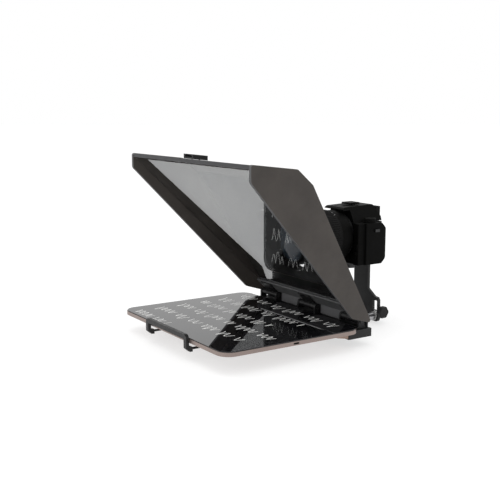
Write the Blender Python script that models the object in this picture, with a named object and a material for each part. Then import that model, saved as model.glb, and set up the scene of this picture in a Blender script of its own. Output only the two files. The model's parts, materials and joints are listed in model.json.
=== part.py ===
"""Tablet teleprompter on a twin-rail base, with the tablet and the camera that it carries.

Metres, +Z up, +X to the operator's right when facing the camera, -Y towards the speaker.
The origin is the middle of the mounting block's underside, where a tripod head bolts on.
Every piece is one closed solid, and a gap of 0.3 mm separates pieces that touch.
"""

import math

import bmesh
import bpy
from mathutils import Matrix, Vector

# --- driving dimensions -----------------------------------------------------------------
GAP = 0.0003                 # clearance between pieces that touch
RUN = 0.0002                 # radial running clearance of a turning or sliding piece

# tablet, 12.9 inch class, lying face up
TABLET_WIDTH = 0.2806
TABLET_DEPTH = 0.2149
TABLET_THICK = 0.0064
TABLET_CORNER = 0.0180
TABLET_REAR_Y = -0.0110
SCREEN_Z = 0.0300            # top of the tablet's glass
SCREEN_THICK = 0.0012
SCREEN_BORDER = 0.0009
PORT_LENGTH = 0.0090
PORT_HEIGHT = 0.0026
PORT_DEPTH = 0.0050

# base bar and the block under it
BAR_HALF = 0.1250
BAR_FRONT_Y = -0.0200
BAR_BACK_Y = 0.0195
BAR_BOTTOM_Z = 0.0120
BAR_TOP_Z = SCREEN_Z - TABLET_THICK - GAP
RIB_HALF = 0.1195            # raised rib behind the hinges
RIB_FRONT_Y = 0.0162
RIB_THICK = 0.0018
RIB_TOP_Z = 0.0330
BLOCK_HALF = 0.0460
BLOCK_FRONT_Y = -0.0170
BLOCK_BACK_Y = 0.0460
BLOCK_REAR_TOP_Z = 0.0180
SOCKETS = {"socket_large": (-0.0150, 0.0048), "socket_small": (0.0150, 0.0032)}
SOCKET_WALL = 0.0014
SOCKET_DEPTH = 0.0085

# twin rails, 60 mm apart
RAIL_X = 0.0300
RAIL_Z = 0.0090
RAIL_R = 0.0060
RAIL_FRONT_Y = 0.0240
RAIL_BACK_Y = 0.1235

# hinges between the base bar and the hood
HINGE_Y = 0.0070
HINGE_Z = 0.0335
HINGE_SPACING = 0.0975
HINGE_HALF = 0.0215
HINGE_CHEEK = 0.0030
BARREL_R = 0.0042
CHEEK_R = 0.0050
PIN_R = 0.0016
PIN_HEAD_R = 0.0030
PIN_HEAD_LENGTH = 0.0012
BRACKET_BASE = 0.0020
LEAF_HALF = 0.0130
LEAF_THICK = 0.0018
LEAF_LENGTH = 0.0190

# hood: flared side panels, a sloping top and a cover behind the mirror
HOOD_HALF = 0.1290           # outer half width over the tablet's rear edge
HOOD_FLARE = 0.1494          # growth of the half width for each metre towards the speaker
PANEL_THICK = 0.0045
FRONT_TOP = (-0.1982, 0.2546)
FRONT_KNEE = (-0.1982, 0.2334)
FRONT_FOOT = (-0.0189, 0.0420)
REAR_FOOT = (0.0210, 0.0295)
REAR_KNEE = (-0.0960, 0.2248)
REAR_TOP = (-0.1225, 0.2456)
PANEL_CORNERS = (0.0030, 0.0060, 0.0040, 0.0030, 0.0060, 0.0080)
TOP_THICK = 0.0020
TOP_LIP = 0.0052             # height of the turned-down front edge
COVER_THICK = 0.0020
COVER_INSET = 0.0012
COVER_BOTTOM_Z = 0.0565
COVER_TOP_RISE = 0.0024      # how far the cover passes the panels' rear knee, up to the roof's end
LENS_HOLE_R = 0.0440
SLEEVE_WALL = 0.0014         # short sleeve from the cover's opening back round the lens
SLEEVE_BACK_Y = 0.0000

# mirror at 45 degrees: its front face is the plane y + z = MIRROR_SUM
MIRROR_SUM = 0.0520
MIRROR_THICK = 0.0030
MIRROR_BOTTOM_Z = 0.0440
MIRROR_TOP_GAP = 0.0056
LIP_BOTTOM_Z = 0.0385
LIP_TOP_Z = 0.0530
LIP_THICK = 0.0020
CHANNEL_FLOOR = 0.0018       # web of the channel under the mirror's bottom edge
CHANNEL_BACK = 0.0012        # flange behind the mirror
CHANNEL_BACK_RISE = 0.0138
SKIRT_BOTTOM_Z = 0.0245      # the lip goes on down between the hinges
SKIRT_THICK = 0.0015
SKIRT_SPANS = ((-0.0740, -0.0220), (0.0235, 0.0755))

# accessory shoe on the front of the top panel
SHOE_HALF = 0.0125
SHOE_FRONT_Y = -0.1925
SHOE_LENGTH = 0.0220
SHOE_BASE = 0.0022
SHOE_SLOT = 0.0024
SHOE_LIP = 0.0016
SHOE_SLOT_HALF = 0.0094
SHOE_MOUTH_HALF = 0.0064
SHOE_SCREW_R = 0.0022

# front clip that stops the tablet, on two rods under it
CLIP_HALF = 0.0565
CLIP_THICK = 0.0045
CLIP_TOP_Z = 0.0345
CLIP_BAR_HEIGHT = 0.0065
CLIP_LEG_WIDTH = 0.0068
CLIP_LEG_BOTTOM_Z = 0.0175
CLIP_FOOT_DEPTH = 0.0052
CLIP_CORNER = 0.0060
ROD_R = 0.0016
ROD_Z = 0.0152
ROD_BACK_Y = 0.0140

# rests under the tablet, ahead of the base bar
REST_X = 0.1130
REST_HALF = 0.0110
REST_LENGTH = 0.0190
NOSE_LENGTH = 0.0090

# carriage: flat post with a split clamp on each rail
POST_FRONT_Y = 0.1069
POST_THICK = 0.0042
POST_HALF = 0.0162
POST_TOP_Z = 0.0892
CLAMP_HALF = 0.0405
CLAMP_BOTTOM_Z = 0.0014
SLOT_INNER_X = 0.0280
SLOT_OUTER_X = 0.0376
SLOT_TOP_Z = 0.0335
KNOB_Z = 0.0178
STUD_R = 0.0013
KNOB_R = 0.0093
KNOB_LENGTH = 0.0115
KNOB_NECK = 0.0030
KNOB_LOBES = 6

# camera plate and its screw
PLATE_HALF = 0.0190
PLATE_FRONT_Y = 0.0560
PLATE_THICK = 0.0032
CAMERA_SCREW_Y = 0.0830
CAMERA_SCREW_R = 0.0105
CAMERA_SCREW_LENGTH = 0.0075

# camera
CAMERA_BOTTOM_Z = POST_TOP_Z + PLATE_THICK + 2.0 * GAP
CAMERA_TOP_Z = 0.1535
CAMERA_RIGHT_X = 0.0500
CAMERA_LEFT_X = -0.0760
CAMERA_FRONT_Y = 0.0640
CAMERA_BACK_Y = 0.1130
LENS_Z = 0.1330
COLUMN_FRONT_Y = 0.0600      # narrow column beside the lens mount
COLUMN_LEFT_X = 0.0352
COLUMN_RIGHT_X = 0.0462
END_STEP = 0.0080            # how far the face outside the column stands back
RELEASE_X = 0.0407
RELEASE_Z = 0.1090
RELEASE_R = 0.0029
CHAMFER_LEFT_X = 0.0370      # the right end is chamfered along its rear edges
REAR_CHAMFER = 0.0130
GRIP_WIDTH = 0.0280
GRIP_DEPTH = 0.0160
PRISM_TOP_Z = 0.1775
PRISM_FRONT_Y = 0.0500
PRISM_BACK_Y = 0.1180

# lens, from the camera's face towards the mirror
LENS_FRONT_Y = -0.0290
LENS_BARREL_R = 0.0375
LENS_TUBE_R = 0.0300
ELEMENT_R = 0.0282           # front glass
ELEMENT_SEAT = 0.0080

TURN = 48                    # sides of a large round piece
SMALL_TURN = 24              # sides of a small round piece

SATIN_BLACK = (0.020, 0.020, 0.021)
PANEL_GREY = (0.070, 0.062, 0.055)
DEEP_BLACK = (0.012, 0.012, 0.013)
STEEL = (0.45, 0.45, 0.46)
SILVER = (0.55, 0.53, 0.53)
REST_TAN = (0.30, 0.21, 0.17)
SLEEVE_GREY = (0.60, 0.60, 0.60)
GLASS_GREY = (0.30, 0.31, 0.32)
LENS_BLUE = (0.03, 0.04, 0.06)


# --- building blocks --------------------------------------------------------------------
def finish(name, colour, roughness, metallic):
    """A plain Principled material for one piece."""
    material = bpy.data.materials.new(name + "_finish")
    material.use_nodes = True
    shader = material.node_tree.nodes["Principled BSDF"]
    shader.inputs["Base Color"].default_value = (*colour, 1.0)
    shader.inputs["Roughness"].default_value = roughness
    shader.inputs["Metallic"].default_value = metallic
    return material


def place(name, mesh_data, colour, roughness=0.5, metallic=0.0, smooth=False):
    """Wrap a bmesh as a named object with its own material."""
    bmesh.ops.recalc_face_normals(mesh_data, faces=mesh_data.faces)
    mesh = bpy.data.meshes.new(name)
    mesh_data.to_mesh(mesh)
    mesh_data.free()
    piece = bpy.data.objects.new(name, mesh)
    bpy.context.scene.collection.objects.link(piece)
    mesh.materials.append(finish(name, colour, roughness, metallic))
    if smooth:
        mesh.shade_smooth()
        mesh.set_sharp_from_angle(angle=math.radians(35.0))
    return piece


def arc_corner(before, corner, after, radius, steps=4):
    """Points that round one corner of an outline with an arc tangent to both sides."""
    corner = Vector(corner)
    to_before = (Vector(before) - corner).normalized()
    to_after = (Vector(after) - corner).normalized()
    half_angle = 0.5 * to_before.angle(to_after)
    reach = radius / math.tan(half_angle)
    centre = corner + (to_before + to_after).normalized() * (radius / math.sin(half_angle))
    start = corner + to_before * reach - centre
    end = corner + to_after * reach - centre
    sweep = start.angle_signed(end)
    points = []
    for step in range(steps + 1):
        turned = Matrix.Rotation(-sweep * step / steps, 2) @ start
        points.append(tuple(centre + turned))
    return points


def rounded(outline, radii, steps=4):
    """An outline with each corner rounded by its own radius; radius 0 keeps the corner."""
    if not isinstance(radii, (list, tuple)):
        radii = [radii] * len(outline)
    points = []
    for index, corner in enumerate(outline):
        before = outline[index - 1]
        after = outline[(index + 1) % len(outline)]
        if radii[index] > 0.0:
            points.extend(arc_corner(before, corner, after, radii[index], steps))
        else:
            points.append(tuple(corner))
    return points


AXES = {"X": lambda a, b, t: (t, a, b), "Y": lambda a, b, t: (a, t, b), "Z": lambda a, b, t: (a, b, t)}


def loft(bottom, top):
    """A closed solid between two loops of the same length."""
    solid = bmesh.new()
    low = [solid.verts.new(point) for point in bottom]
    high = [solid.verts.new(point) for point in top]
    solid.faces.new(low)
    solid.faces.new(reversed(high))
    for index in range(len(low)):
        following = (index + 1) % len(low)
        solid.faces.new((low[following], low[index], high[index], high[following]))
    return solid


def prism(outline, axis, start, end):
    """An outline in the plane across an axis, drawn out from start to end."""
    lift = AXES[axis]
    return loft([lift(a, b, start) for a, b in outline], [lift(a, b, end) for a, b in outline])


def soften(solid, width, angle=30.0, segments=2):
    """Bevel every edge sharper than an angle."""
    limit = math.radians(angle)
    sharp = [edge for edge in solid.edges if len(edge.link_faces) == 2 and edge.calc_face_angle() > limit]
    bmesh.ops.bevel(solid, geom=sharp, offset=width, segments=segments, profile=0.5,
                    affect="EDGES", clamp_overlap=True)
    return solid


def box(low, high, bevel=0.0):
    """A block between two opposite corners."""
    outline = [(low[0], low[1]), (high[0], low[1]), (high[0], high[1]), (low[0], high[1])]
    solid = prism(outline, "Z", low[2], high[2])
    if bevel > 0.0:
        soften(solid, bevel)
    return solid


def turned(profile, axis, centre, sides=TURN):
    """A closed (radius, position) profile turned about an axis through a centre."""
    solid = bmesh.new()
    rings = []
    for radius, position in profile:
        if radius < 1e-9:
            rings.append([solid.verts.new((0.0, 0.0, position))])
            continue
        ring = []
        for side in range(sides):
            angle = 2.0 * math.pi * (side + 0.5) / sides
            ring.append(solid.verts.new((radius * math.cos(angle), radius * math.sin(angle), position)))
        rings.append(ring)
    solid_profile = profile[0][0] < 1e-9
    pairs = len(rings) - 1 if solid_profile else len(rings)
    for index in range(pairs):
        join_rings(solid, rings[index], rings[(index + 1) % len(rings)])
    swing = {"X": Matrix.Rotation(math.pi / 2.0, 3, "Y"), "Y": Matrix.Rotation(-math.pi / 2.0, 3, "X"),
             "Z": Matrix.Identity(3)}[axis]
    bmesh.ops.rotate(solid, verts=solid.verts, cent=(0.0, 0.0, 0.0), matrix=swing)
    bmesh.ops.translate(solid, verts=solid.verts, vec=centre)
    return solid


def join_rings(solid, first, second):
    """Faces between two neighbouring rings, either of which may be a point on the axis."""
    if len(first) == 1 and len(second) == 1:
        return
    sides = max(len(first), len(second))
    for side in range(sides):
        following = (side + 1) % sides
        corners = [first[side % len(first)], first[following % len(first)],
                   second[following % len(second)], second[side % len(second)]]
        corners = [corner for index, corner in enumerate(corners) if corner not in corners[:index]]
        solid.faces.new(corners)


def rod(radius, start, end, axis, centre, sides=SMALL_TURN, chamfer=0.0):
    """A plain round bar, with an optional chamfer at both ends."""
    profile = [(0.0, start)]
    if chamfer > 0.0:
        profile += [(radius - chamfer, start), (radius, start + chamfer),
                    (radius, end - chamfer), (radius - chamfer, end)]
    else:
        profile += [(radius, start), (radius, end)]
    profile.append((0.0, end))
    return turned(profile, axis, centre, sides)


def tube(inner, outer, start, end, axis, centre, sides=SMALL_TURN):
    """A plain sleeve."""
    return turned([(inner, start), (outer, start), (outer, end), (inner, end)], axis, centre, sides)


def combine(piece, solids, operation):
    """Cut or join a piece with other solids by exact Booleans, then drop those solids."""
    for number, solid in enumerate(solids):
        tool = place(piece.name + "_tool_" + str(number), solid, SATIN_BLACK)
        step = piece.modifiers.new("step", "BOOLEAN")
        step.operation = operation
        step.solver = "EXACT"
        step.object = tool
        bpy.context.view_layer.update()
        evaluated = piece.evaluated_get(bpy.context.evaluated_depsgraph_get())
        result = bpy.data.meshes.new_from_object(evaluated)
        piece.modifiers.remove(step)
        old = piece.data
        piece.data = result
        result.name = piece.name
        bpy.data.meshes.remove(old)
        bpy.data.objects.remove(tool)
    while len(piece.data.materials) > 1:
        piece.data.materials.pop(index=len(piece.data.materials) - 1)
    return piece


def pivot(piece, point):
    """Move a piece's origin onto its joint without moving its shape."""
    piece.data.transform(Matrix.Translation(-Vector(point)))
    piece.location = point
    return piece


def hood_half(y):
    """Outer half width of the flared hood at a distance along Y."""
    return HOOD_HALF - HOOD_FLARE * (y - TABLET_REAR_Y)


def flared_sheet(front, rear, thick, inset=0.0):
    """A sheet between the side panels, from one (y, z) line to another, thickened along thick."""
    loops = []
    for shift in (Vector((0.0, 0.0)), Vector(thick)):
        loop = []
        for point in (front, rear):
            y, z = Vector(point) + shift
            half = hood_half(y) - PANEL_THICK - GAP - inset
            loop.append(((-half, y, z), (half, y, z)))
        loops.append([loop[0][0], loop[0][1], loop[1][1], loop[1][0]])
    return loft(loops[0], loops[1])


# --- base -------------------------------------------------------------------------------
def build_base():
    """Base bar, the mounting block under it, its threaded sockets and the twin rails."""
    beam = box((-BAR_HALF, BAR_FRONT_Y, BAR_BOTTOM_Z), (BAR_HALF, BAR_BACK_Y, BAR_TOP_Z), 0.0012)
    bar = place("base_bar", beam, SATIN_BLACK, 0.45, 0.2)
    rod_x = CLIP_HALF - CLIP_LEG_WIDTH / 2.0
    bores = [rod(ROD_R + RUN, BAR_FRONT_Y - 0.001, BAR_BACK_Y + 0.001, "Y", (side * rod_x, 0.0, ROD_Z))
             for side in (-1, 1)]
    combine(bar, bores, "DIFFERENCE")
    rib_back = RIB_FRONT_Y + RIB_THICK
    rib = box((-RIB_HALF, RIB_FRONT_Y, BAR_TOP_Z - 0.001), (RIB_HALF, rib_back, RIB_TOP_Z), 0.0)
    combine(bar, [rib], "UNION")

    outline = [(BLOCK_FRONT_Y, 0.0), (BLOCK_BACK_Y, 0.0), (BLOCK_BACK_Y, BLOCK_REAR_TOP_Z),
               (BAR_BACK_Y + GAP, BLOCK_REAR_TOP_Z), (BAR_BACK_Y + GAP, BAR_BOTTOM_Z - GAP),
               (BLOCK_FRONT_Y, BAR_BOTTOM_Z - GAP)]
    block = place("mounting_block", soften(prism(outline, "X", -BLOCK_HALF, BLOCK_HALF), 0.0008),
                  SATIN_BLACK, 0.5, 0.2)
    rail_end = BLOCK_BACK_Y + 0.001
    cuts = [rod(RAIL_R + GAP, RAIL_FRONT_Y - GAP, rail_end, "Y", (side * RAIL_X, 0.0, RAIL_Z), TURN)
            for side in (-1, 1)]
    for centre_x, bore in SOCKETS.values():
        cuts.append(rod(bore + SOCKET_WALL + GAP, -0.001, SOCKET_DEPTH + GAP, "Z", (centre_x, 0.0, 0.0)))
    combine(block, cuts, "DIFFERENCE")

    for name, (centre_x, bore) in SOCKETS.items():
        place(name, tube(bore, bore + SOCKET_WALL, 0.0004, SOCKET_DEPTH, "Z", (centre_x, 0.0, 0.0)),
              STEEL, 0.35, 1.0, smooth=True)
    for name, side in (("rail_left", -1), ("rail_right", 1)):
        place(name, rod(RAIL_R, RAIL_FRONT_Y, RAIL_BACK_Y, "Y", (side * RAIL_X, 0.0, RAIL_Z), TURN, 0.0008),
              STEEL, 0.3, 1.0, smooth=True)


def build_rests():
    """Rubber rests and their dark noses, which carry the tablet ahead of the base bar."""
    rear = BAR_FRONT_Y - GAP
    step = rear - REST_LENGTH
    nose = step - GAP
    top = BAR_TOP_Z
    rest = [(rear, top), (rear, top - 0.0098), (step, top - 0.0062), (step, top)]
    tip = [(nose, top), (nose, top - 0.0058), (nose - NOSE_LENGTH, top - 0.0022), (nose - NOSE_LENGTH, top)]
    for side_name, side in (("left", -1), ("right", 1)):
        low = side * REST_X - REST_HALF
        high = side * REST_X + REST_HALF
        place("tablet_rest_" + side_name, soften(prism(rest, "X", low, high), 0.0006), REST_TAN, 0.7)
        place("rest_nose_" + side_name, soften(prism(tip, "X", low, high), 0.0005), DEEP_BLACK, 0.7)


def build_tablet():
    """Aluminium tablet housing with a port in its right edge, and its glass."""
    half = TABLET_WIDTH / 2.0
    front = TABLET_REAR_Y - TABLET_DEPTH
    plan = [(-half, front), (half, front), (half, TABLET_REAR_Y), (-half, TABLET_REAR_Y)]
    low = SCREEN_Z - TABLET_THICK
    top = SCREEN_Z - SCREEN_THICK
    slab = soften(prism(rounded(plan, TABLET_CORNER, 8), "Z", low, top), 0.0013, 60.0)
    housing = place("tablet_housing", slab, SILVER, 0.35, 0.9, smooth=True)
    port_y = front + TABLET_DEPTH / 2.0
    port_z = (low + top) / 2.0
    along = PORT_LENGTH / 2.0
    across = PORT_HEIGHT / 2.0
    port = [(port_y - along, port_z - across), (port_y + along, port_z - across),
            (port_y + along, port_z + across), (port_y - along, port_z + across)]
    slot = prism(rounded(port, PORT_HEIGHT * 0.45, 3), "X", half - PORT_DEPTH, half + 0.001)
    combine(housing, [slot], "DIFFERENCE")

    inner = [(x * (1.0 - SCREEN_BORDER / half), y) for x, y in plan]
    inner = [(x, y + (SCREEN_BORDER if y == front else -SCREEN_BORDER)) for x, y in inner]
    glass = prism(rounded(inner, TABLET_CORNER - SCREEN_BORDER, 8), "Z", top + 0.0001, SCREEN_Z)
    place("tablet_screen", glass, DEEP_BLACK, 0.06)


def build_hinge_base(number, centre_x):
    """One fixed hinge bracket with two cheeks, and the pin through them."""
    base_z = BAR_TOP_Z + GAP
    low = HINGE_Y - 0.0070
    high = HINGE_Y + 0.0070
    cheek = [(HINGE_Y - CHEEK_R, base_z), (HINGE_Y + CHEEK_R, base_z)]
    for step in range(9):
        angle = math.pi * step / 8.0
        cheek.append((HINGE_Y + CHEEK_R * math.cos(angle), HINGE_Z + CHEEK_R * math.sin(angle)))
    floor_top = base_z + BRACKET_BASE
    floor = box((centre_x - HINGE_HALF, low, base_z), (centre_x + HINGE_HALF, high, floor_top), 0.0005)
    bracket = place("hinge_bracket_" + number, floor, SATIN_BLACK, 0.4, 0.6)
    cheeks = []
    for start in (centre_x - HINGE_HALF, centre_x + HINGE_HALF - HINGE_CHEEK):
        cheeks.append(prism(cheek, "X", start, start + HINGE_CHEEK))
    combine(bracket, cheeks, "UNION")
    reach = HINGE_HALF + 0.002
    bore = rod(PIN_R + RUN, centre_x - reach, centre_x + reach, "X", (0.0, HINGE_Y, HINGE_Z))
    combine(bracket, [bore], "DIFFERENCE")

    left = centre_x - HINGE_HALF
    head = centre_x + HINGE_HALF + GAP
    drive_r = PIN_HEAD_R * 0.55
    drive_floor = head + PIN_HEAD_LENGTH * 0.4
    profile = [(0.0, left), (PIN_R, left), (PIN_R, head), (PIN_HEAD_R, head),
               (PIN_HEAD_R, head + PIN_HEAD_LENGTH), (drive_r, head + PIN_HEAD_LENGTH),
               (drive_r, drive_floor), (0.0, drive_floor)]
    place("hinge_pin_" + number, turned(profile, "X", (0.0, HINGE_Y, HINGE_Z), SMALL_TURN),
          STEEL, 0.35, 1.0, smooth=True)


# --- front clip -------------------------------------------------------------------------
def build_clip():
    """The upturned bar in front of the tablet, with its feet, and the two rods it slides on."""
    back = TABLET_REAR_Y - TABLET_DEPTH - GAP
    front = back - CLIP_THICK
    inner = CLIP_HALF - CLIP_LEG_WIDTH
    under = CLIP_TOP_Z - CLIP_BAR_HEIGHT
    outline = [(-CLIP_HALF, CLIP_LEG_BOTTOM_Z), (-inner, CLIP_LEG_BOTTOM_Z), (-inner, under), (inner, under),
               (inner, CLIP_LEG_BOTTOM_Z), (CLIP_HALF, CLIP_LEG_BOTTOM_Z), (CLIP_HALF, CLIP_TOP_Z),
               (-CLIP_HALF, CLIP_TOP_Z)]
    radii = [0.0, 0.0, 0.0015, 0.0015, 0.0, 0.0, CLIP_CORNER, CLIP_CORNER]
    clip = place("front_clip", prism(rounded(outline, radii), "Y", front, back), SATIN_BLACK, 0.4, 0.5)
    foot_low = ROD_Z - ROD_R - 0.0019
    foot = [(front, CLIP_LEG_BOTTOM_Z + 0.0012), (back, CLIP_LEG_BOTTOM_Z + 0.0012),
            (back + CLIP_FOOT_DEPTH, foot_low + 0.0062), (back + CLIP_FOOT_DEPTH, foot_low),
            (back + 0.0010, foot_low), (front, CLIP_LEG_BOTTOM_Z - 0.0012)]
    feet = [prism(foot, "X", -CLIP_HALF + 0.0001, -inner - 0.0001),
            prism(foot, "X", inner + 0.0001, CLIP_HALF - 0.0001)]
    combine(clip, feet, "UNION")
    rod_x = CLIP_HALF - CLIP_LEG_WIDTH / 2.0
    seat = back + 0.0020
    sockets = [rod(ROD_R + GAP, seat - GAP, back + CLIP_FOOT_DEPTH + 0.001, "Y", (side * rod_x, 0.0, ROD_Z))
               for side in (-1, 1)]
    combine(clip, sockets, "DIFFERENCE")
    for name, side in (("clip_rod_left", -1), ("clip_rod_right", 1)):
        place(name, rod(ROD_R, seat, ROD_BACK_Y, "Y", (side * rod_x, 0.0, ROD_Z), SMALL_TURN, 0.0004),
              SATIN_BLACK, 0.35, 0.8, smooth=True)


# --- hood -------------------------------------------------------------------------------
def panel_outline():
    """Side view of the hood's panels, with its corners rounded."""
    corners = [FRONT_KNEE, FRONT_FOOT, REAR_FOOT, REAR_KNEE, REAR_TOP, FRONT_TOP]
    radii = [PANEL_CORNERS[1], PANEL_CORNERS[2], PANEL_CORNERS[3], PANEL_CORNERS[4], PANEL_CORNERS[5],
             PANEL_CORNERS[0]]
    return rounded(corners, radii)


def build_side_panels():
    """The two flat panels that flare towards the speaker."""
    outline = panel_outline()
    for name, side in (("side_panel_left", -1), ("side_panel_right", 1)):
        outer = [(side * hood_half(y), y, z) for y, z in outline]
        inner = [(side * (hood_half(y) - PANEL_THICK), y, z) for y, z in outline]
        place(name, soften(loft(outer, inner), 0.0008, 40.0), PANEL_GREY, 0.55, 0.2)


def build_top_panel():
    """The roof between the side panels: a turned-down front lip, a long slope and a bend."""
    front_y, front_z = FRONT_TOP
    drop = (REAR_TOP[1] - front_z) / (REAR_TOP[0] - front_y)
    first = (front_y + 0.0006, front_z - 0.0006)
    bend = (REAR_TOP[0] - 0.0012, REAR_TOP[1] - 0.0008)
    last = (REAR_KNEE[0] - 0.0040, REAR_KNEE[1] + 0.0015)
    inner_bend = (bend[0] - 0.0004, bend[1] - TOP_THICK * 1.05)
    inner_last = (last[0] - TOP_THICK * 0.62, last[1] - TOP_THICK * 0.79)
    lip_back = first[0] + TOP_THICK
    profile = [first, bend, last, inner_last, inner_bend,
               (lip_back, first[1] + drop * TOP_THICK - TOP_THICK), (lip_back, first[1] - TOP_LIP),
               (first[0], first[1] - TOP_LIP)]
    left = []
    right = []
    for y, z in profile:
        half = hood_half(y) - PANEL_THICK - GAP
        left.append((-half, y, z))
        right.append((half, y, z))
    roof = place("top_panel", loft(left, right), PANEL_GREY, 0.5, 0.3)
    holes = [rod(0.0011, 0.2300, 0.2700, "Z", (0.0, y, 0.0), 16) for y in shoe_screw_places()]
    combine(roof, holes, "DIFFERENCE")


def build_rear_cover():
    """The black sheet behind the mirror, and the sleeve from its opening back round the lens."""
    slope = (REAR_FOOT[0] - REAR_KNEE[0]) / (REAR_KNEE[1] - REAR_FOOT[1])
    run = Vector((slope, -1.0)).normalized()
    inward = Vector((run[1], -run[0]))
    start = Vector(REAR_KNEE) - run * COVER_TOP_RISE + inward * COVER_INSET
    drop = (COVER_BOTTOM_Z - start[1]) / run[1]
    end = start + run * drop
    axis_at = (0.0, 0.0, LENS_Z)
    sleeve_r = LENS_HOLE_R + SLEEVE_WALL
    cover = place("rear_cover", flared_sheet(start, end, inward * COVER_THICK), DEEP_BLACK, 0.8)
    combine(cover, [rod(sleeve_r + GAP, -0.1500, 0.0500, "Y", axis_at, TURN)], "DIFFERENCE")

    sleeve = place("cover_sleeve", tube(LENS_HOLE_R, sleeve_r, -0.0800, SLEEVE_BACK_Y, "Y", axis_at, TURN),
                   DEEP_BLACK, 0.8)
    middle = [point + inward * COVER_THICK / 2.0 for point in (start - run * 0.01, end + run * 0.01)]
    ahead = [middle[0], middle[1], middle[1] + inward * 0.12, middle[0] + inward * 0.12]
    in_front = prism([tuple(point) for point in ahead], "X", -0.0700, 0.0700)
    combine(sleeve, [in_front], "DIFFERENCE")


def build_mirror():
    """The beam-splitter at 45 degrees and the channel that holds its bottom edge."""
    bottom = (MIRROR_SUM - MIRROR_BOTTOM_Z, MIRROR_BOTTOM_Z)
    top_z = FRONT_TOP[1] - TOP_THICK - MIRROR_TOP_GAP
    top = (MIRROR_SUM - top_z, top_z)
    across = math.sqrt(0.5)
    place("beam_splitter", flared_sheet(top, bottom, (MIRROR_THICK * across, MIRROR_THICK * across), 0.0004),
          GLASS_GREY, 0.02)

    face = MIRROR_SUM - GAP * 2.0
    rise = Vector((-across, across))
    back = Vector((across, across))
    low = Vector((face - LIP_BOTTOM_Z, LIP_BOTTOM_Z))
    lip_length = (LIP_TOP_Z - LIP_BOTTOM_Z) / across
    seat = (Vector(bottom) - low).dot(rise) - GAP * 1.5
    behind = (Vector(bottom) - low).dot(back) + MIRROR_THICK + GAP
    flange_end = seat + CHANNEL_BACK_RISE - CHANNEL_FLOOR
    flange_back = behind + CHANNEL_BACK
    shape = [(0.0, -LIP_THICK), (lip_length, -LIP_THICK), (lip_length, 0.0), (seat, 0.0), (seat, behind),
             (flange_end, behind), (flange_end, flange_back), (seat - CHANNEL_FLOOR, flange_back),
             (seat - CHANNEL_FLOOR, 0.0), (0.0, 0.0)]
    left = []
    right = []
    for along, out in shape:
        y, z = low + rise * along + back * out
        half = hood_half(y) - PANEL_THICK - GAP - 0.0004
        left.append((-half, y, z))
        right.append((half, y, z))
    lip = place("mirror_lip", loft(left, right), SATIN_BLACK, 0.5, 0.4)
    skirt_back = low[0] - 0.0001
    for start_x, end_x in SKIRT_SPANS:
        skirt = box((start_x, skirt_back - SKIRT_THICK, SKIRT_BOTTOM_Z),
                    (end_x, skirt_back, LIP_BOTTOM_Z + 0.0006), 0.0)
        combine(lip, [skirt], "UNION")


def build_hinge_leaf(number, centre_x):
    """One moving leaf: a grooved barrel round the pin and a plate lying on the mirror lip."""
    half = HINGE_HALF - HINGE_CHEEK - GAP
    groove = BARREL_R - 0.0006
    bore = PIN_R + RUN
    profile = [(bore, -half), (BARREL_R, -half)]
    for joint in (-half / 3.0, half / 3.0):
        profile.extend([(BARREL_R, joint - 0.0005), (groove, joint - 0.0002), (groove, joint + 0.0002),
                        (BARREL_R, joint + 0.0005)])
    profile.extend([(BARREL_R, half), (bore, half)])
    leaf = place("hinge_leaf_" + number, turned(profile, "X", (centre_x, HINGE_Y, HINGE_Z), SMALL_TURN),
                 SATIN_BLACK, 0.4, 0.6)
    across = math.sqrt(0.5)
    rise = Vector((-across, across))
    outward = Vector((-across, -across))
    back_face = (MIRROR_SUM - GAP * 2.0) / 2.0 * Vector((1.0, 1.0)) + outward * (LIP_THICK + GAP)
    foot = back_face + rise * ((Vector((HINGE_Y, HINGE_Z)) - back_face).dot(rise))
    corners = []
    for distance, shift in ((0.0, 0.0), (LEAF_LENGTH, 0.0), (LEAF_LENGTH, LEAF_THICK), (0.0, LEAF_THICK)):
        corners.append(tuple(foot + rise * distance + outward * shift))
    plate = soften(prism(corners, "X", centre_x - LEAF_HALF, centre_x + LEAF_HALF), 0.0005)
    combine(leaf, [plate], "UNION")
    bore_cut = rod(bore, centre_x - HINGE_HALF, centre_x + HINGE_HALF, "X", (0.0, HINGE_Y, HINGE_Z))
    combine(leaf, [bore_cut], "DIFFERENCE")
    pivot(leaf, (centre_x, HINGE_Y, HINGE_Z))


def shoe_screw_places():
    """Y of the two screws on the accessory shoe's centre line."""
    middle = SHOE_FRONT_Y + SHOE_LENGTH / 2.0
    return (middle - 0.0055, middle + 0.0055)


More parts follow.
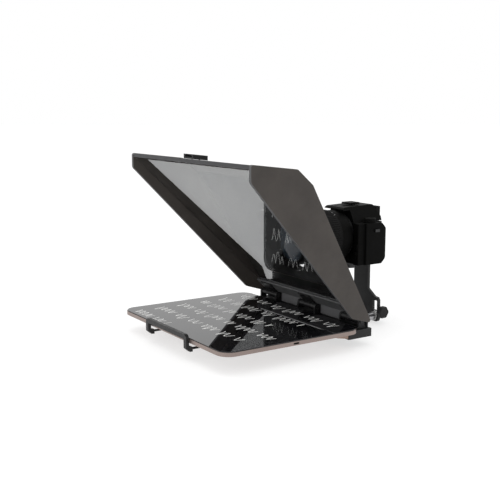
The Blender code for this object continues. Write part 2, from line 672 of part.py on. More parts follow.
def build_shoe():
    """The accessory shoe on the roof's front edge, with its two screws."""
    drop = (REAR_TOP[1] - FRONT_TOP[1]) / (REAR_TOP[0] - FRONT_TOP[0])
    base = FRONT_TOP[1] - 0.0006 + drop * (SHOE_FRONT_Y - FRONT_TOP[0]) + GAP
    total = SHOE_BASE + SHOE_SLOT + SHOE_LIP
    outline = [(-SHOE_HALF, 0.0), (SHOE_HALF, 0.0), (SHOE_HALF, total), (SHOE_MOUTH_HALF, total),
               (SHOE_MOUTH_HALF, total - SHOE_LIP), (SHOE_SLOT_HALF, total - SHOE_LIP),
               (SHOE_SLOT_HALF, SHOE_BASE),
               (-SHOE_SLOT_HALF, SHOE_BASE), (-SHOE_SLOT_HALF, total - SHOE_LIP),
               (-SHOE_MOUTH_HALF, total - SHOE_LIP), (-SHOE_MOUTH_HALF, total), (-SHOE_HALF, total)]
    front = [(x, SHOE_FRONT_Y, z + base) for x, z in outline]
    end_y = SHOE_FRONT_Y + SHOE_LENGTH
    rear = [(x, end_y, z + base + (drop * SHOE_LENGTH)) for x, z in outline]
    shoe = place("accessory_shoe", loft(front, rear), SATIN_BLACK, 0.4, 0.5)
    holes = []
    for y in shoe_screw_places():
        seat = base + drop * (y - SHOE_FRONT_Y) + SHOE_BASE
        holes.append(turned([(0.0, seat - 0.0040), (0.0011, seat - 0.0040), (0.0011, seat - 0.0012),
                             (SHOE_SCREW_R + GAP, seat - 0.0012), (SHOE_SCREW_R + GAP, seat + 0.0010),
                             (0.0, seat + 0.0010)], "Z", (0.0, y, 0.0), 16))
    combine(shoe, holes, "DIFFERENCE")
    for number, y in enumerate(shoe_screw_places(), start=1):
        seat = base + drop * (y - SHOE_FRONT_Y) + SHOE_BASE
        profile = [(0.0, seat - 0.0055), (0.0008, seat - 0.0055), (0.0008, seat - 0.0009),
                   (SHOE_SCREW_R, seat - 0.0009), (SHOE_SCREW_R, seat - 0.0002), (0.0, seat - 0.0002)]
        screw = turned(profile, "Z", (0.0, y, 0.0), 16)
        place("shoe_screw_" + str(number), screw, STEEL, 0.35, 1.0, smooth=True)


# --- carriage ---------------------------------------------------------------------------
def build_carriage():
    """The flat post with its two split clamps, the sleeves in them and the camera plate."""
    half_outline = [(POST_HALF, POST_TOP_Z), (POST_HALF, 0.0490), (0.0310, 0.0392), (0.0380, 0.0386),
                    (CLAMP_HALF, 0.0345), (CLAMP_HALF, CLAMP_BOTTOM_Z)]
    outline = half_outline + [(-x, z) for x, z in reversed(half_outline)]
    radii = [0.0, 0.0020, 0.0, 0.0015, 0.0020, 0.0050]
    back = POST_FRONT_Y + POST_THICK
    plate = soften(prism(rounded(outline, radii + radii[::-1]), "Y", POST_FRONT_Y, back), 0.0006, 50.0)
    post = place("camera_post", plate, SATIN_BLACK, 0.4, 0.4)
    sleeve = RAIL_R + RUN + 0.0009
    cuts = []
    for side in (-1, 1):
        cuts.append(rod(sleeve, POST_FRONT_Y - 0.001, back + 0.001, "Y", (side * RAIL_X, 0.0, RAIL_Z), TURN))
        slot = [(side * SLOT_INNER_X, RAIL_Z + 0.0030), (side * SLOT_OUTER_X, RAIL_Z),
                (side * SLOT_OUTER_X, SLOT_TOP_Z), (side * SLOT_INNER_X, SLOT_TOP_Z)]
        cuts.append(prism(slot, "Y", POST_FRONT_Y - 0.001, back + 0.001))
        hole = sorted((side * (POST_HALF + 0.002), side * (CLAMP_HALF + 0.002)))
        cuts.append(rod(STUD_R + GAP, hole[0], hole[1], "X", (0.0, POST_FRONT_Y + POST_THICK / 2.0, KNOB_Z)))
    combine(post, cuts, "DIFFERENCE")

    for name, side in (("rail_sleeve_left", -1), ("rail_sleeve_right", 1)):
        bush = tube(RAIL_R + RUN, sleeve - GAP, POST_FRONT_Y - 0.0010, back - 0.0002, "Y",
                    (side * RAIL_X, 0.0, RAIL_Z), TURN)
        place(name, bush, SLEEVE_GREY, 0.4, 0.3, smooth=True)

    plate_z = POST_TOP_Z + GAP
    slab = box((-PLATE_HALF, PLATE_FRONT_Y, plate_z), (PLATE_HALF, back, plate_z + PLATE_THICK), 0.0006)
    table = place("camera_plate", slab, SATIN_BLACK, 0.45, 0.4)
    screw_hole = rod(0.0034, plate_z - 0.001, plate_z + PLATE_THICK + 0.001, "Z", (0.0, CAMERA_SCREW_Y, 0.0))
    combine(table, [screw_hole], "DIFFERENCE")


def build_clamp_knobs():
    """A lobed knob and its stud on the outer side of each clamp."""
    middle_y = POST_FRONT_Y + POST_THICK / 2.0
    for side_name, side in (("left", -1), ("right", 1)):
        start = CLAMP_HALF + GAP
        stud_start = POST_HALF + 0.0040
        neck_end = start + KNOB_NECK
        sides = KNOB_LOBES * 8
        solid = bmesh.new()
        rings = []
        stations = ((0.0042, start, 0.0), (0.0042, neck_end, 0.0), (KNOB_R - 0.0008, neck_end + 0.0002, 1.0),
                    (KNOB_R, neck_end + 0.0012, 1.0), (KNOB_R, start + KNOB_LENGTH - 0.0012, 1.0),
                    (KNOB_R - 0.0012, start + KNOB_LENGTH, 1.0))
        for radius, x, lobed in stations:
            ring = []
            for step in range(sides):
                angle = 2.0 * math.pi * step / sides
                wave = radius * (1.0 - lobed * 0.10 * (0.5 - 0.5 * math.cos(KNOB_LOBES * angle)))
                y = middle_y + wave * math.cos(angle)
                z = KNOB_Z + wave * math.sin(angle)
                ring.append(solid.verts.new((side * x, y, z)))
            rings.append(ring)
        for first, second in zip(rings, rings[1:]):
            join_rings(solid, first, second)
        solid.faces.new(rings[0])
        solid.faces.new(rings[-1])
        knob = place("clamp_knob_" + side_name, solid, DEEP_BLACK, 0.5, smooth=True)
        span = sorted((side * (start - 0.001), side * (start + KNOB_LENGTH - 0.004)))
        socket = rod(STUD_R + GAP, span[0], span[1], "X", (0.0, middle_y, KNOB_Z), 16)
        combine(knob, [socket], "DIFFERENCE")
        pivot(knob, (side * start, middle_y, KNOB_Z))
        span = sorted((side * stud_start, side * (start + KNOB_LENGTH - 0.0045)))
        shank = rod(STUD_R, span[0], span[1], "X", (0.0, middle_y, KNOB_Z), 16)
        stud = place("clamp_stud_" + side_name, shank, STEEL, 0.35, 1.0, smooth=True)
        pivot(stud, (side * start, middle_y, KNOB_Z))


def build_camera_screw():
    """The thumb screw under the camera plate, with its stud in the camera."""
    top = POST_TOP_Z
    low = top - CAMERA_SCREW_LENGTH
    profile = [(0.0, low), (CAMERA_SCREW_R - 0.0008, low), (CAMERA_SCREW_R, low + 0.0008),
               (CAMERA_SCREW_R, top - 0.0008), (CAMERA_SCREW_R - 0.0008, top), (0.0031, top),
               (0.0031, CAMERA_BOTTOM_Z + 0.0050), (0.0, CAMERA_BOTTOM_Z + 0.0050)]
    screw = turned(profile, "Z", (0.0, CAMERA_SCREW_Y, 0.0), 32)
    pivot(place("camera_screw", screw, STEEL, 0.35, 1.0, smooth=True), (0.0, CAMERA_SCREW_Y, top))


# --- camera -----------------------------------------------------------------------------
def build_camera_body():
    """Camera shell with a column beside the lens, the grip and the viewfinder housing."""
    end_face = CAMERA_FRONT_Y + END_STEP
    plan = [(CAMERA_LEFT_X, CAMERA_FRONT_Y + 0.006), (CAMERA_LEFT_X + 0.030, CAMERA_FRONT_Y),
            (COLUMN_LEFT_X - 0.0004, CAMERA_FRONT_Y), (COLUMN_LEFT_X, COLUMN_FRONT_Y),
            (COLUMN_RIGHT_X, COLUMN_FRONT_Y), (COLUMN_RIGHT_X + 0.0004, end_face), (CAMERA_RIGHT_X, end_face),
            (CAMERA_RIGHT_X, CAMERA_BACK_Y), (CAMERA_LEFT_X, CAMERA_BACK_Y)]
    radii = [0.010, 0.0, 0.0, 0.0015, 0.0020, 0.0010, 0.0020, 0.0060, 0.0080]
    shell = soften(prism(rounded(plan, radii), "Z", CAMERA_BOTTOM_Z, CAMERA_TOP_Z), 0.0025, 60.0)
    body = place("camera_body", shell, DEEP_BLACK, 0.55)
    socket = rod(0.0034, CAMERA_BOTTOM_Z - 0.001, CAMERA_BOTTOM_Z + 0.0060, "Z", (0.0, CAMERA_SCREW_Y, 0.0))
    bore_end = COLUMN_FRONT_Y + 0.0045
    release = rod(RELEASE_R + GAP, COLUMN_FRONT_Y - 0.002, bore_end, "Y", (RELEASE_X, 0.0, RELEASE_Z))
    cuts = [socket, release]
    past = 0.001
    for edge_z, sign in ((CAMERA_TOP_Z, 1.0), (CAMERA_BOTTOM_Z, -1.0)):
        corner = (CAMERA_BACK_Y + past, edge_z + sign * past)
        forward = (corner[0] - REAR_CHAMFER, corner[1])
        inward = (corner[0], corner[1] - sign * REAR_CHAMFER)
        cuts.append(prism([forward, corner, inward], "X", CHAMFER_LEFT_X, CAMERA_RIGHT_X + past))
    combine(body, cuts, "DIFFERENCE")

    outer_x = CAMERA_LEFT_X + 0.0010
    inner_x = CAMERA_LEFT_X + GRIP_WIDTH
    grip = [(outer_x, CAMERA_FRONT_Y - 0.0060), (inner_x, CAMERA_FRONT_Y - GRIP_DEPTH),
            (inner_x, CAMERA_FRONT_Y - 0.0004), (outer_x, CAMERA_FRONT_Y + 0.0050)]
    handle = prism(rounded(grip, [0.004, 0.006, 0.0, 0.0]), "Z", CAMERA_BOTTOM_Z + 0.001, CAMERA_TOP_Z - 0.004)
    place("camera_grip", soften(handle, 0.0020, 50.0), DEEP_BLACK, 0.8)

    base = CAMERA_TOP_Z + GAP
    over_lens = LENS_Z + LENS_BARREL_R + 0.0010
    side = [(CAMERA_FRONT_Y + 0.0005, base), (PRISM_BACK_Y, base), (PRISM_BACK_Y + 0.001, base + 0.0060),
            (PRISM_BACK_Y - 0.0080, PRISM_TOP_Z), (PRISM_FRONT_Y + 0.0040, PRISM_TOP_Z - 0.0020),
            (PRISM_FRONT_Y, over_lens), (CAMERA_FRONT_Y + 0.0005, over_lens)]
    low_half = 0.0310
    high_half = 0.0190
    span = PRISM_TOP_Z - base
    left = []
    right = []
    for y, z in rounded(side, [0.0, 0.0, 0.002, 0.004, 0.002, 0.001, 0.0], 3):
        half = low_half + (high_half - low_half) * (z - base) / span
        left.append((-half, y, z))
        right.append((half, y, z))
    place("viewfinder_housing", soften(loft(left, right), 0.0022, 50.0), DEEP_BLACK, 0.5)


def build_camera_details():
    """Eyecup, screen, shoe cover, strap lugs, dial and buttons."""
    eye_z = CAMERA_TOP_Z + 0.0110
    cup = box((-0.0170, PRISM_BACK_Y + 0.0016, eye_z - 0.0085),
              (0.0170, PRISM_BACK_Y + 0.0090, eye_z + 0.0085))
    eyecup = place("eyecup", soften(cup, 0.0030, 60.0), DEEP_BLACK, 0.9)
    window = box((-0.0110, PRISM_BACK_Y + 0.0040, eye_z - 0.0050),
                 (0.0110, PRISM_BACK_Y + 0.0120, eye_z + 0.0050))
    combine(eyecup, [soften(window, 0.0020, 60.0)], "DIFFERENCE")
    display = box((-0.0400, CAMERA_BACK_Y + GAP, 0.0985), (0.0360, CAMERA_BACK_Y + 0.0040, 0.1450), 0.0008)
    place("rear_display", display, DEEP_BLACK, 0.1)
    shoe_z = PRISM_TOP_Z - 0.0012
    shoe = box((-0.0095, 0.0740, shoe_z + 0.0016), (0.0095, 0.0930, shoe_z + 0.0040), 0.0006)
    place("shoe_cover", shoe, DEEP_BLACK, 0.5)
    lug_z = CAMERA_TOP_Z - 0.0130
    for name, x, width in (("strap_lug_left", CAMERA_LEFT_X - 0.0038, 0.0035),
                           ("strap_lug_right", CAMERA_RIGHT_X + GAP, 0.0020)):
        lug = box((x, 0.0880, lug_z), (x + width, 0.0960, lug_z + 0.0040), 0.0005)
        place(name, lug, STEEL, 0.35, 1.0)

    dial_at = (0.0400, 0.0870, CAMERA_TOP_Z + GAP)
    dial = turned([(0.0, 0.0), (0.0080, 0.0), (0.0086, 0.0008), (0.0086, 0.0058), (0.0078, 0.0066),
                   (0.0, 0.0066)], "Z", dial_at, 36)
    pivot(place("mode_dial", dial, DEEP_BLACK, 0.45, smooth=True), dial_at)
    shutter_at = (-0.0560, 0.0760, CAMERA_TOP_Z + 0.0012)
    shutter = turned([(0.0, 0.0), (0.0046, 0.0), (0.0046, 0.0026), (0.0038, 0.0032), (0.0, 0.0032)],
                     "Z", shutter_at, 24)
    pivot(place("shutter_button", shutter, STEEL, 0.3, 0.8, smooth=True), shutter_at)
    release_front = COLUMN_FRONT_Y - 0.0012
    release = rod(RELEASE_R, release_front, COLUMN_FRONT_Y + 0.0022, "Y", (RELEASE_X, 0.0, RELEASE_Z),
                  SMALL_TURN, 0.0004)
    pivot(place("lens_release_button", release, DEEP_BLACK, 0.4, smooth=True),
          (RELEASE_X, release_front, RELEASE_Z))


def build_lens():
    """Lens in six pieces on the camera's axis: mount, barrel, two rings, front rim and glass."""
    axis_at = (0.0, 0.0, LENS_Z)
    mount_back = CAMERA_FRONT_Y - GAP
    mount_front = mount_back - 0.0050
    flange = tube(0.0230, 0.0330, mount_front, mount_back, "Y", axis_at, TURN)
    place("lens_mount", flange, STEEL, 0.3, 1.0, smooth=True)

    barrel_back = mount_front - GAP
    ring_back = 0.0400
    tube_front = LENS_FRONT_Y + 0.0120
    seat = tube_front + ELEMENT_SEAT + GAP
    profile = [(0.0210, barrel_back), (0.0360, barrel_back), (LENS_BARREL_R, barrel_back - 0.0020),
               (LENS_BARREL_R, ring_back), (LENS_TUBE_R, ring_back), (LENS_TUBE_R, tube_front),
               (ELEMENT_R + GAP, tube_front), (ELEMENT_R + GAP, seat), (0.0210, seat)]
    place("lens_barrel", turned(profile, "Y", axis_at, TURN), DEEP_BLACK, 0.5, smooth=True)

    zoom_back = ring_back - GAP
    zoom_front = zoom_back - 0.0260
    focus_back = zoom_front - 0.0006
    focus_front = focus_back - 0.0200
    for name, back, front, outer in (("zoom_ring", zoom_back, zoom_front, 0.0390),
                                     ("focus_ring", focus_back, focus_front, 0.0380)):
        inner = LENS_TUBE_R + GAP
        ring = turned([(inner, back), (outer - 0.0008, back), (outer, back - 0.0008), (outer, front + 0.0008),
                       (outer - 0.0008, front), (inner, front)], "Y", axis_at, TURN)
        pivot(place(name, ring, DEEP_BLACK, 0.8, smooth=True), (0.0, (back + front) / 2.0, LENS_Z))

    rim_back = focus_front - 0.0006
    rim = turned([(LENS_TUBE_R + GAP, rim_back), (0.0370, rim_back), (0.0375, rim_back - 0.0010),
                  (0.0375, LENS_FRONT_Y + 0.0010), (0.0368, LENS_FRONT_Y), (0.0345, LENS_FRONT_Y),
                  (0.0335, LENS_FRONT_Y + 0.0070), (0.0305, tube_front - GAP),
                  (LENS_TUBE_R + GAP, tube_front - GAP)], "Y", axis_at, TURN)
    place("lens_front_rim", rim, DEEP_BLACK, 0.5, smooth=True)
    dome = turned(lens_dome(tube_front), "Y", axis_at, TURN)
    place("front_element", dome, LENS_BLUE, 0.03, smooth=True)


def lens_dome(tube_front):
    """Profile of the front lens element: flat behind, domed towards the mirror, seated in the barrel."""
    radius = ELEMENT_R
    seat = tube_front + ELEMENT_SEAT
    edge = tube_front + 0.0020
    bulge = 0.0060
    profile = [(0.0, seat), (radius, seat)]
    for step in range(6):
        share = 1.0 - step / 5.0
        profile.append((radius * share, edge - bulge * (1.0 - share * share)))
    return profile


def main():
    """Clear the scene and build every piece."""
    for old in list(bpy.data.objects):
        bpy.data.objects.remove(old)
    build_base()
    build_rests()
    build_tablet()
    for index in range(3):
        centre_x = (index - 1) * HINGE_SPACING
        build_hinge_base(str(index + 1), centre_x)
        build_hinge_leaf(str(index + 1), centre_x)
    build_clip()
    build_side_panels()
    build_top_panel()
    build_rear_cover()
    build_mirror()
    build_shoe()
    build_carriage()
    build_clamp_knobs()
    build_camera_screw()
    build_camera_body()
    build_camera_details()
    build_lens()


main()
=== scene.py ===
"""Looks of a tablet teleprompter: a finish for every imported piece, fine details, floor, light and camera."""
import json
import math
import random

import bmesh
import bpy
from mathutils import Matrix, Vector


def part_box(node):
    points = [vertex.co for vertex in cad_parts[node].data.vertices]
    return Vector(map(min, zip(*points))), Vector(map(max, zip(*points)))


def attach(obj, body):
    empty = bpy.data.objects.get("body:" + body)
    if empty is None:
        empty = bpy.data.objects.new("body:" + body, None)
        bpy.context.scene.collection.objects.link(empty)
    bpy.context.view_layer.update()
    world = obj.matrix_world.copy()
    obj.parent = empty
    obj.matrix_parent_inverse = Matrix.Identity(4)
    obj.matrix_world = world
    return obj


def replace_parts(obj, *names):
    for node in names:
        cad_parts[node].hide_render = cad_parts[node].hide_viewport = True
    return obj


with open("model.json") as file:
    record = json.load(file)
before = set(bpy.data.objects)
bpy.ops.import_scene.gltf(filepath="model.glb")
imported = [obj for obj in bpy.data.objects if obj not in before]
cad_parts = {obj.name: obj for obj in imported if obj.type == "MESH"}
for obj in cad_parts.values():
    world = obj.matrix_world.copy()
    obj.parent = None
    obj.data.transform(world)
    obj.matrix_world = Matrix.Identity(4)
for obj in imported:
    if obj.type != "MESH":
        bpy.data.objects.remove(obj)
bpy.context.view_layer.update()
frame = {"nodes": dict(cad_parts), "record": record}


REFLECTED_SHARE = 0.235      # what the half-silvered face reflects, on top of the clear plate's share
CLEAR_SHARE = 0.05
CUT_EDGE_COSINE = 0.6        # a sheet's cut edges have less than this of the axis in their normal


# ---------------------------------------------------------------- node helpers

class Graph:
    """A material's node tree with short calls for the nodes used here."""

    def __init__(self, name):
        self.material = bpy.data.materials.new(name)
        self.material.use_nodes = True
        self.tree = self.material.node_tree
        self.tree.nodes.clear()
        self.out = self.node("ShaderNodeOutputMaterial")
        self.coords = self.node("ShaderNodeTexCoord").outputs["Object"]

    def node(self, kind, **settings):
        made = self.tree.nodes.new(kind)
        for key, value in settings.items():
            setattr(made, key, value)
        return made

    def link(self, a, b):
        self.tree.links.new(a, b)

    def mapping(self, scale=(1, 1, 1), turn=(0, 0, 0)):
        made = self.node("ShaderNodeMapping")
        made.inputs["Scale"].default_value = scale
        made.inputs["Rotation"].default_value = turn
        self.link(self.coords, made.inputs["Vector"])
        return made.outputs["Vector"]

    def noise(self, scale, detail=3.0, rough=0.55, vector=None):
        made = self.node("ShaderNodeTexNoise")
        made.inputs["Scale"].default_value = scale
        made.inputs["Detail"].default_value = detail
        made.inputs["Roughness"].default_value = rough
        self.link(vector or self.coords, made.inputs["Vector"])
        return made.outputs["Fac"]

    def cells(self, scale):
        """Distance from the middles of rounded cells."""
        made = self.node("ShaderNodeTexVoronoi", feature="SMOOTH_F1")
        made.inputs["Scale"].default_value = scale
        self.link(self.coords, made.inputs["Vector"])
        return made.outputs["Distance"]

    def ranged(self, value, low, high, start=0.0, end=1.0):
        made = self.node("ShaderNodeMapRange")
        made.inputs["From Min"].default_value = start
        made.inputs["From Max"].default_value = end
        made.inputs["To Min"].default_value = low
        made.inputs["To Max"].default_value = high
        self.link(value, made.inputs["Value"])
        return made.outputs["Result"]

    def math(self, operation, a, b):
        made = self.node("ShaderNodeMath", operation=operation)
        for socket, value in ((made.inputs[0], a), (made.inputs[1], b)):
            if isinstance(value, (int, float)):
                socket.default_value = value
            else:
                self.link(value, socket)
        return made.outputs["Value"]

    def mix(self, factor, a, b):
        made = self.node("ShaderNodeMix", data_type="RGBA")
        self.link(factor, made.inputs["Factor"])
        for socket, value in ((made.inputs["A"], a), (made.inputs["B"], b)):
            if isinstance(value, tuple):
                socket.default_value = (*value, 1.0)
            else:
                self.link(value, socket)
        return made.outputs["Result"]

    def bump(self, height, strength, distance, onto=None):
        made = self.node("ShaderNodeBump")
        made.inputs["Strength"].default_value = strength
        made.inputs["Distance"].default_value = distance
        self.link(height, made.inputs["Height"])
        if onto is not None:
            self.link(onto, made.inputs["Normal"])
        return made.outputs["Normal"]

    def edges(self, radius):
        """1 along the piece's edges and 0 on its faces."""
        bevel = self.node("ShaderNodeBevel", samples=4)
        bevel.inputs["Radius"].default_value = radius
        plain = self.node("ShaderNodeNewGeometry").outputs["Normal"]
        dot = self.node("ShaderNodeVectorMath", operation="DOT_PRODUCT")
        self.link(bevel.outputs["Normal"], dot.inputs[0])
        self.link(plain, dot.inputs[1])
        off = self.math("SUBTRACT", 1.0, dot.outputs["Value"])
        return self.ranged(off, 0.0, 1.0, 0.02, 0.25)

    def off_axis(self, axis):
        """1 on faces that don't look along an axis of the object, either way, and 0 on those that do."""
        dot = self.node("ShaderNodeVectorMath", operation="DOT_PRODUCT")
        self.link(self.node("ShaderNodeTexCoord").outputs["Normal"], dot.inputs[0])
        dot.inputs[1].default_value = axis
        return self.math("LESS_THAN", self.math("ABSOLUTE", dot.outputs["Value"], 0.0), CUT_EDGE_COSINE)

    def surface(self, metallic, specular, **extra):
        shader = self.node("ShaderNodeBsdfPrincipled")
        shader.inputs["Metallic"].default_value = metallic
        shader.inputs["Specular IOR Level"].default_value = specular
        for key, value in extra.items():
            shader.inputs[key.replace("_", " ")].default_value = value
        self.link(shader.outputs["BSDF"], self.out.inputs["Surface"])
        return shader


def tint(colour, factor):
    """The colour with every channel multiplied by factor."""
    return tuple(channel * factor for channel in colour)


def coated(name, colour, rough, specular, grain, depth, edge_wear_and_highlight, edge_wear_and_highlight_share,
           metallic=0.0, edge=0.0006, drift=0.18, cut=None):
    """Paint, anodising or moulded plastic: broad colour drift, fine grain, smears in the gloss, lighter edges
    that are partly rubbed wear and partly painted edge highlight.

    cut is (axis, colour): faces that don't look along the axis are the sheet's cut edges, in that colour.
    """
    g = Graph(name)
    broad = g.ranged(g.noise(22.0, 4.0), 0.0, 1.0, 0.3, 0.7)
    base = g.mix(broad, tint(colour, 1.0 - drift), tint(colour, 1.0 + drift))
    if cut:
        base = g.mix(g.off_axis(cut[0]), base, cut[1])
    # painted highlight along every edge, broken into patches like rubbed wear
    edge_wear_and_highlight_mask = g.math("MULTIPLY", g.edges(edge), g.ranged(g.noise(420.0, 3.0), 0.25, edge_wear_and_highlight_share, 0.35, 0.65))
    shader = g.surface(metallic, specular)
    g.link(g.mix(edge_wear_and_highlight_mask, base, edge_wear_and_highlight), shader.inputs["Base Color"])
    smear = g.noise(90.0, 5.0, 0.65)
    g.link(g.ranged(smear, rough * 0.82, rough * 1.2, 0.3, 0.7), shader.inputs["Roughness"])
    g.link(g.bump(g.noise(grain, 2.0), 0.35, depth), shader.inputs["Normal"])
    return g.material


def pebbled(name, colour, rough, scale, depth):
    """Moulded rubber or leatherette: rounded cells with painted shade in the creases between them and a
    painted highlight along the edges.
    """
    g = Graph(name)
    cell = g.cells(scale)
    drift = g.noise(30.0, 4.0)
    base = g.mix(g.ranged(drift, 0.0, 1.0, 0.3, 0.7), tint(colour, 0.8), tint(colour, 1.2))
    # painted shade: the creases between the cells are darkened
    crease_shaded = g.mix(g.ranged(cell, 0.0, 0.6, 0.45, 0.9), base, tint(colour, 0.3))
    # painted highlight: every edge is lightened evenly
    shade = g.mix(g.math("MULTIPLY", g.edges(0.0008), 0.35), crease_shaded, (0.06, 0.06, 0.06))
    shader = g.surface(0.0, 0.1)
    g.link(shade, shader.inputs["Base Color"])
    g.link(g.ranged(g.noise(120.0, 4.0), rough * 0.85, rough * 1.12, 0.3, 0.7), shader.inputs["Roughness"])
    height = g.math("SUBTRACT", 1.0, cell)
    g.link(g.bump(g.noise(3200.0, 2.0), 0.2, 0.00003, g.bump(height, 0.7, depth)), shader.inputs["Normal"])
    return g.material


def brushed(name, colour, rough, stretch=(1, 1, 1), metallic=1.0):
    """Turned or drawn bare metal: long fine scratches, a few darker smudges and a painted highlight along the
    edges.
    """
    g = Graph(name)
    lines = g.noise(900.0, 4.0, 0.7, g.mapping(stretch))
    smudge = g.noise(60.0, 5.0)
    base = g.mix(g.ranged(smudge, 0.0, 1.0, 0.35, 0.7), tint(colour, 0.78), tint(colour, 1.05))
    # painted highlight: every edge is brightened evenly
    shade = g.mix(g.math("MULTIPLY", g.edges(0.0005), 0.6), base, tint(colour, 1.25))
    shader = g.surface(metallic, 0.5)
    g.link(shade, shader.inputs["Base Color"])
    g.link(g.ranged(lines, rough * 0.75, rough * 1.3, 0.3, 0.7), shader.inputs["Roughness"])
    g.link(g.bump(lines, 0.18, 0.00003), shader.inputs["Normal"])
    return g.material


def splitter_glass():
    """Half-silvered plate: the front face is a partial mirror, the rest of the plate is nearly clear."""
    g = Graph("beam_splitter_coating")
    low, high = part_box("beam_splitter")
    across = math.sqrt(0.5)
    depth = g.node("ShaderNodeVectorMath", operation="DOT_PRODUCT")
    g.link(g.coords, depth.inputs[0])
    depth.inputs[1].default_value = (0.0, across, across)
    middle = (high.z + low.y) * across
    front = g.ranged(depth.outputs["Value"], 1.0, 0.0, middle - 0.0006, middle + 0.0006)
    haze = g.noise(9.0, 5.0, 0.6)
    wiped = g.noise(46.0, 3.0, 0.6, g.mapping((1.0, 0.05, 0.05), (0.0, 0.0, 0.35)))
    share = g.math("ADD", REFLECTED_SHARE, g.ranged(haze, -0.012, 0.012, 0.3, 0.7))
    alpha = g.math("ADD", g.math("MULTIPLY", front, share), CLEAR_SHARE)
    shader = g.surface(1.0, 0.5)
    shade = g.mix(g.ranged(haze, 0.0, 1.0, 0.3, 0.7), (0.93, 0.95, 0.96), (0.97, 0.98, 0.98))
    g.link(shade, shader.inputs["Base Color"])
    g.link(g.ranged(wiped, 0.0, 0.012, 0.45, 0.85), shader.inputs["Roughness"])
    g.link(alpha, shader.inputs["Alpha"])
    return g.material


def screen_glass():
    """Polished black cover glass with faint finger marks that only show in the gloss."""
    g = Graph("tablet_glass")
    marks = g.noise(38.0, 6.0, 0.7)
    shader = g.surface(0.0, 0.5)
    shade = g.mix(g.ranged(marks, 0.0, 1.0, 0.3, 0.7), (0.004, 0.004, 0.005), (0.009, 0.009, 0.010))
    g.link(shade, shader.inputs["Base Color"])
    g.link(g.ranged(marks, 0.0, 0.05, 0.5, 0.8), shader.inputs["Roughness"])
    return g.material


def lens_glass():
    """Coated lens element: dark, with a painted blue sheen standing for the coating's reflection, stronger
    towards the rim.
    """
    g = Graph("coated_lens")
    rim = g.node("ShaderNodeLayerWeight")
    rim.inputs["Blend"].default_value = 0.35
    drift = g.noise(45.0, 3.0)
    inner = g.mix(g.ranged(drift, 0.0, 1.0, 0.3, 0.7), (0.024, 0.032, 0.043), (0.031, 0.041, 0.053))
    # painted sheen: the base colour turns bluer as the surface turns away from the view
    shade = g.mix(rim.outputs["Facing"], inner, (0.026, 0.045, 0.065))
    shader = g.surface(0.0, 0.45, Coat_Weight=0.25, Coat_Roughness=0.02)
    g.link(shade, shader.inputs["Base Color"])
    g.link(g.ranged(g.noise(80.0, 3.0), 0.02, 0.08, 0.3, 0.7), shader.inputs["Roughness"])
    return g.material


def glowing(name, colour, strength):
    """Lit strokes on the display, a little uneven in brightness."""
    g = Graph(name)
    level = g.noise(700.0, 2.0)
    shader = g.surface(0.0, 0.3)
    shade = g.mix(g.ranged(level, 0.0, 1.0, 0.35, 0.65), tint(colour, 0.9), colour)
    g.link(shade, shader.inputs["Base Color"])
    g.link(shade, shader.inputs["Emission Color"])
    g.link(g.ranged(level, 0.25, 0.35), shader.inputs["Roughness"])
    shader.inputs["Emission Strength"].default_value = strength
    return g.material


def panel_sheet(name, axis, edge_colour):
    """The hood's brown-grey sheet, whose faces look along axis, with its cut edges in their own colour."""
    return coated(name, (0.046, 0.0395, 0.035), 0.46, specular=0.26, grain=1800.0, depth=0.00004,
                  edge_wear_and_highlight=(0.15, 0.15, 0.15), edge_wear_and_highlight_share=0.7, edge=0.0009, cut=(axis, edge_colour))


BLACK_METAL = coated("satin_black_metal", (0.0095, 0.0095, 0.0100), 0.42, specular=0.28, grain=3200.0,
                     depth=0.00003, edge_wear_and_highlight=(0.085, 0.085, 0.09), edge_wear_and_highlight_share=0.4)
SIDE_PANEL = panel_sheet("side_panel_finish", (1.0, 0.0, 0.0), (0.070, 0.070, 0.073))
ROOF = panel_sheet("roof_finish", (0.0, 0.0, 1.0), (0.036, 0.036, 0.038))
COVER = coated("cover_finish", (0.010, 0.010, 0.010), 0.85, specular=0.15, grain=900.0,
               depth=0.00012, edge_wear_and_highlight=(0.03, 0.03, 0.03), edge_wear_and_highlight_share=0.4)
STEEL = brushed("bare_steel", (0.46, 0.46, 0.47), 0.30, (1.0, 0.05, 1.0))
DARK_STEEL = brushed("blackened_steel", (0.045, 0.045, 0.046), 0.38, (1.0, 0.05, 1.0), 0.7)
SLEEVE = coated("light_sleeve", (0.55, 0.55, 0.54), 0.35, specular=0.5, grain=1500.0,
                depth=0.00002, edge_wear_and_highlight=(0.7, 0.7, 0.7), edge_wear_and_highlight_share=0.5)
KNOB = coated("knob_plastic", (0.006, 0.006, 0.0064), 0.55, specular=0.25, grain=1400.0,
              depth=0.00007, edge_wear_and_highlight=(0.05, 0.05, 0.05), edge_wear_and_highlight_share=0.5)
ALUMINIUM = coated("tablet_shell", (0.27, 0.215, 0.195), 0.38, specular=0.5, grain=4200.0,
                   depth=0.00002, edge_wear_and_highlight=(0.50, 0.46, 0.45), edge_wear_and_highlight_share=0.6,
                   metallic=0.75, edge=0.0005, drift=0.05)
REST = coated("brown_rest", (0.30, 0.215, 0.175), 0.72, specular=0.3, grain=1300.0,
              depth=0.00012, edge_wear_and_highlight=(0.36, 0.27, 0.22), edge_wear_and_highlight_share=0.5)
RUBBER = pebbled("black_rubber", (0.005, 0.005, 0.0048), 0.72, 900.0, 0.0001)
GRIP = pebbled("grip_leatherette", (0.005, 0.005, 0.0047), 0.62, 620.0, 0.0002)
CAMERA = coated("camera_shell", (0.0024, 0.0024, 0.0022), 0.52, specular=0.05, grain=1500.0,
                depth=0.00008, edge_wear_and_highlight=(0.045, 0.045, 0.043), edge_wear_and_highlight_share=0.45, edge=0.0007)
BUTTON = brushed("button_metal", (0.35, 0.35, 0.36), 0.25)
